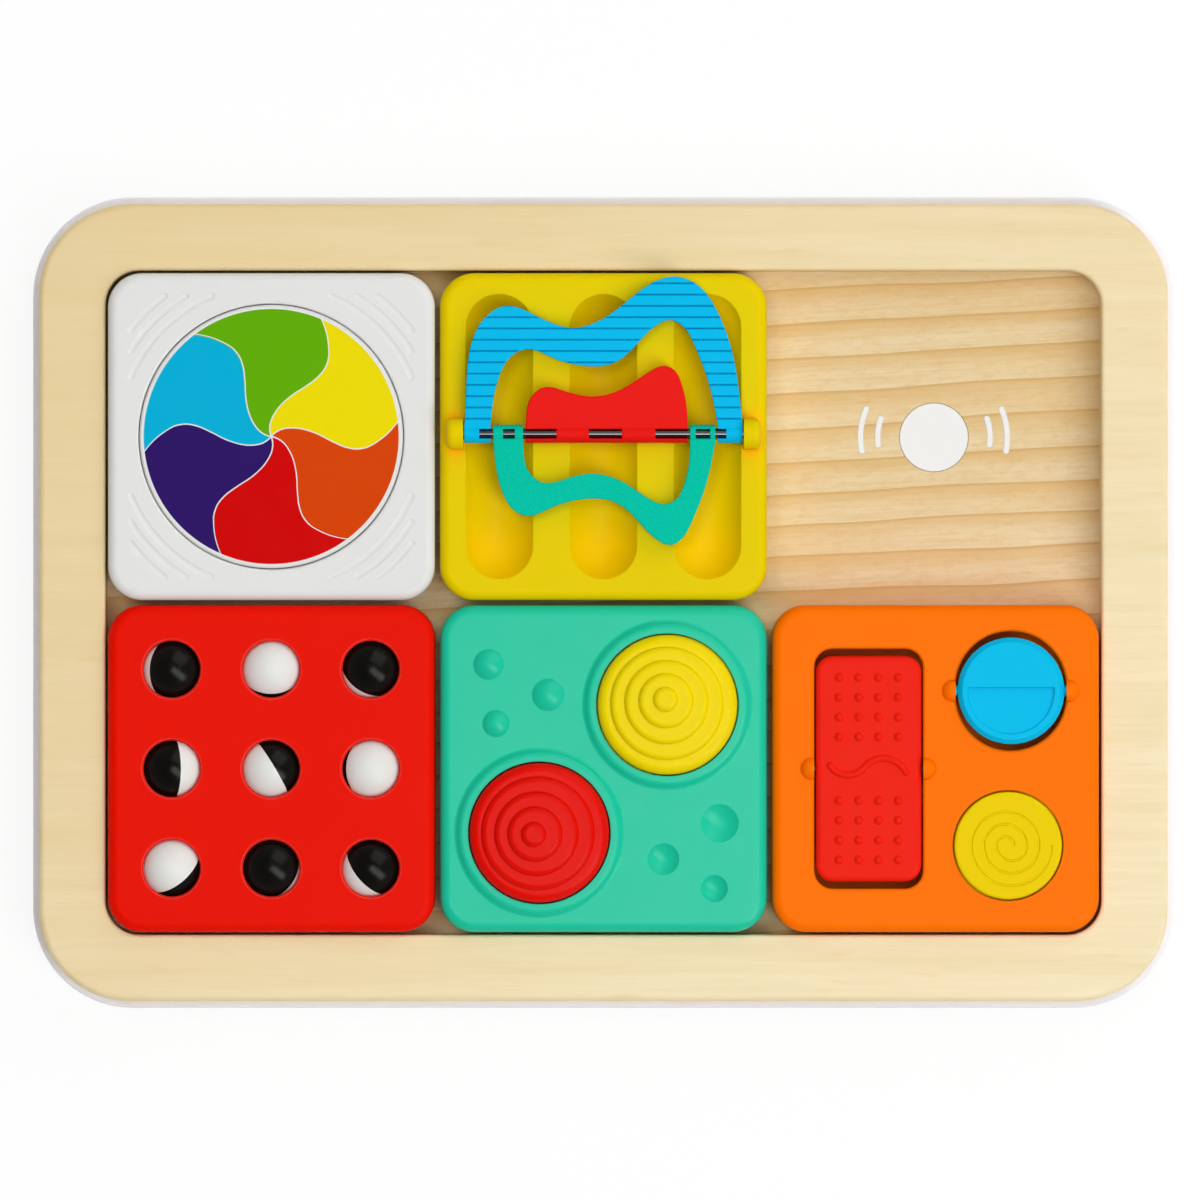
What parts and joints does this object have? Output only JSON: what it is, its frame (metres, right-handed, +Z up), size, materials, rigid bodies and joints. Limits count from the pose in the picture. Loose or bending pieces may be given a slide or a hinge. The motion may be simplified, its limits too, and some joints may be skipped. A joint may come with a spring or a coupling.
{
  "type": "magnetic sensory tablet",
  "caption": "Lap tray of wood with a grid of bays that hold square magnetic activity tiles: pinwheel, flip pages, loose balls, rippled knobs and switches.",
  "frame": {"origin": "middle of the underside of the backing board, on the table", "axes": "+X along the long side to the right, +Y across to the far long side, +Z up out of the tray"},
  "size_m": [0.3138, 0.223, 0.0336],
  "materials": {
    "backing_white": "white faced board",
    "floor_wood": "bare pine with dark grain lines",
    "rail_wood": "bare birch, sanded",
    "disc_white": "white painted steel",
    "screw_steel": "plain steel",
    "magnet_grey": "dark magnet",
    "tile_white": "satin moulded plastic",
    "tile_yellow": "satin moulded plastic",
    "tile_red": "satin moulded plastic",
    "tile_teal": "satin moulded plastic",
    "tile_orange": "satin moulded plastic",
    "pinwheel_white": "white with a printed six-colour pinwheel",
    "rod_chrome": "bright",
    "page_blue": "satin, ribbed",
    "page_teal": "satin, fine grain",
    "page_red": "smooth",
    "ball_white": "polished",
    "ball_black": "polished",
    "knob_red": "satin moulded plastic",
    "knob_yellow": "satin moulded plastic",
    "rocker_red": "satin moulded plastic",
    "flip_blue": "satin moulded plastic",
    "button_yellow": "satin moulded plastic"
  },
  "bodies": {
    "tray": {"backing_board": "backing_white", "base_panel": "floor_wood", "rail_frame": "rail_wood", "bay_discs": "disc_white", "tray_screws": "screw_steel"},
    "spinner_tile": {"spinner_tile_shell": "tile_white", "spinner_tile_cover": "tile_white", "spinner_tile_magnet": "magnet_grey", "spinner_tile_cover_screws": "screw_steel"},
    "page_tile": {"page_tile_shell": "tile_yellow", "page_tile_cover": "tile_yellow", "page_tile_magnet": "magnet_grey", "page_tile_cover_screws": "screw_steel", "page_rod": "rod_chrome"},
    "ball_tile": {"ball_tile_shell": "tile_red", "ball_tile_cover": "tile_red", "ball_tile_magnet": "magnet_grey", "ball_tile_cover_screws": "screw_steel", "ball_cradle": "tile_red"},
    "knob_tile": {"knob_tile_shell": "tile_teal", "knob_tile_cover": "tile_teal", "knob_tile_magnet": "magnet_grey", "knob_tile_cover_screws": "screw_steel"},
    "switch_tile": {"switch_tile_shell": "tile_orange", "switch_tile_cover": "tile_orange", "switch_tile_magnet": "magnet_grey", "switch_tile_cover_screws": "screw_steel", "rocker_pin": "screw_steel", "button_spring": "screw_steel"},
    "pinwheel": {"spinner_disc": "pinwheel_white", "spinner_washer": "screw_steel", "spinner_screw": "screw_steel"},
    "blue_page": {"blue_page": "page_blue"},
    "teal_page": {"teal_page": "page_teal"},
    "red_page": {"red_page": "page_red"},
    "ball_11": {"ball_11_white_half": "ball_white", "ball_11_black_half": "ball_black"},
    "ball_12": {"ball_12_white_half": "ball_white", "ball_12_black_half": "ball_black"},
    "ball_13": {"ball_13_white_half": "ball_white", "ball_13_black_half": "ball_black"},
    "ball_21": {"ball_21_white_half": "ball_white", "ball_21_black_half": "ball_black"},
    "ball_22": {"ball_22_white_half": "ball_white", "ball_22_black_half": "ball_black"},
    "ball_23": {"ball_23_white_half": "ball_white", "ball_23_black_half": "ball_black"},
    "ball_31": {"ball_31_white_half": "ball_white", "ball_31_black_half": "ball_black"},
    "ball_32": {"ball_32_white_half": "ball_white", "ball_32_black_half": "ball_black"},
    "ball_33": {"ball_33_white_half": "ball_white", "ball_33_black_half": "ball_black"},
    "red_knob": {"red_knob": "knob_red"},
    "yellow_knob": {"yellow_knob": "knob_yellow"},
    "rocker": {"rocker": "rocker_red"},
    "flip_disc": {"flip_disc": "flip_blue"},
    "push_button": {"push_button": "button_yellow"}
  },
  "joints": [
    {"name": "spinner_tile_lift", "type": "slide", "parent": "tray", "child": "spinner_tile", "axis": [0, 0, 1], "range_m": [0, 0.04]},
    {"name": "page_tile_lift", "type": "slide", "parent": "tray", "child": "page_tile", "axis": [0, 0, 1], "range_m": [0, 0.04]},
    {"name": "ball_tile_lift", "type": "slide", "parent": "tray", "child": "ball_tile", "axis": [0, 0, 1], "range_m": [0, 0.04]},
    {"name": "knob_tile_lift", "type": "slide", "parent": "tray", "child": "knob_tile", "axis": [0, 0, 1], "range_m": [0, 0.04]},
    {"name": "switch_tile_lift", "type": "slide", "parent": "tray", "child": "switch_tile", "axis": [0, 0, 1], "range_m": [0, 0.04]},
    {"name": "pinwheel_spin", "type": "hinge", "parent": "spinner_tile", "child": "pinwheel", "pos_m": [-0.0908, 0.0454, 0.0236], "axis": [0, 0, 1], "continuous": true},
    {"name": "blue_page_turn", "type": "hinge", "parent": "page_tile", "child": "blue_page", "pos_m": [0, 0.0461, 0.0279], "axis": [1, 0, 0], "range_deg": [0, 180]},
    {"name": "teal_page_turn", "type": "hinge", "parent": "page_tile", "child": "teal_page", "pos_m": [0, 0.0461, 0.0279], "axis": [-1, 0, 0], "range_deg": [0, 180]},
    {"name": "red_page_turn", "type": "hinge", "parent": "page_tile", "child": "red_page", "pos_m": [0, 0.0461, 0.0279], "axis": [1, 0, 0], "range_deg": [0, 180]},
    {"name": "ball_11_roll", "type": "hinge", "parent": "ball_tile", "child": "ball_11", "pos_m": [-0.118, -0.0182, 0.0187], "axis": [1, 0, 0], "continuous": true},
    {"name": "ball_12_roll", "type": "hinge", "parent": "ball_tile", "child": "ball_12", "pos_m": [-0.0908, -0.0182, 0.0187], "axis": [1, 0, 0], "continuous": true},
    {"name": "ball_13_roll", "type": "hinge", "parent": "ball_tile", "child": "ball_13", "pos_m": [-0.0636, -0.0182, 0.0187], "axis": [1, 0, 0], "continuous": true},
    {"name": "ball_21_roll", "type": "hinge", "parent": "ball_tile", "child": "ball_21", "pos_m": [-0.118, -0.0454, 0.0187], "axis": [1, 0, 0], "continuous": true},
    {"name": "ball_22_roll", "type": "hinge", "parent": "ball_tile", "child": "ball_22", "pos_m": [-0.0908, -0.0454, 0.0187], "axis": [1, 0, 0], "continuous": true},
    {"name": "ball_23_roll", "type": "hinge", "parent": "ball_tile", "child": "ball_23", "pos_m": [-0.0636, -0.0454, 0.0187], "axis": [1, 0, 0], "continuous": true},
    {"name": "ball_31_roll", "type": "hinge", "parent": "ball_tile", "child": "ball_31", "pos_m": [-0.118, -0.0726, 0.0187], "axis": [1, 0, 0], "continuous": true},
    {"name": "ball_32_roll", "type": "hinge", "parent": "ball_tile", "child": "ball_32", "pos_m": [-0.0908, -0.0726, 0.0187], "axis": [1, 0, 0], "continuous": true},
    {"name": "ball_33_roll", "type": "hinge", "parent": "ball_tile", "child": "ball_33", "pos_m": [-0.0636, -0.0726, 0.0187], "axis": [1, 0, 0], "continuous": true},
    {"name": "red_knob_turn", "type": "hinge", "parent": "knob_tile", "child": "red_knob", "pos_m": [-0.0175, -0.0629, 0.025], "axis": [0, 0, 1], "continuous": true},
    {"name": "yellow_knob_turn", "type": "hinge", "parent": "knob_tile", "child": "yellow_knob", "pos_m": [0.0175, -0.0279, 0.025], "axis": [0, 0, 1], "continuous": true},
    {"name": "rocker_tilt", "type": "hinge", "parent": "switch_tile", "child": "rocker", "pos_m": [0.0725, -0.0454, 0.0229], "axis": [1, 0, 0], "range_deg": [-8, 8]},
    {"name": "flip_disc_flip", "type": "hinge", "parent": "switch_tile", "child": "flip_disc", "pos_m": [0.1114, -0.0241, 0.0246], "axis": [1, 0, 0], "continuous": true},
    {"name": "push_button_press", "type": "slide", "parent": "switch_tile", "child": "push_button", "axis": [0, 0, 1], "range_m": [-0.003, 0], "stiffness_N_per_m": 200, "springref_m": 0.004, "deforming": ["button_spring"]}
  ]
}
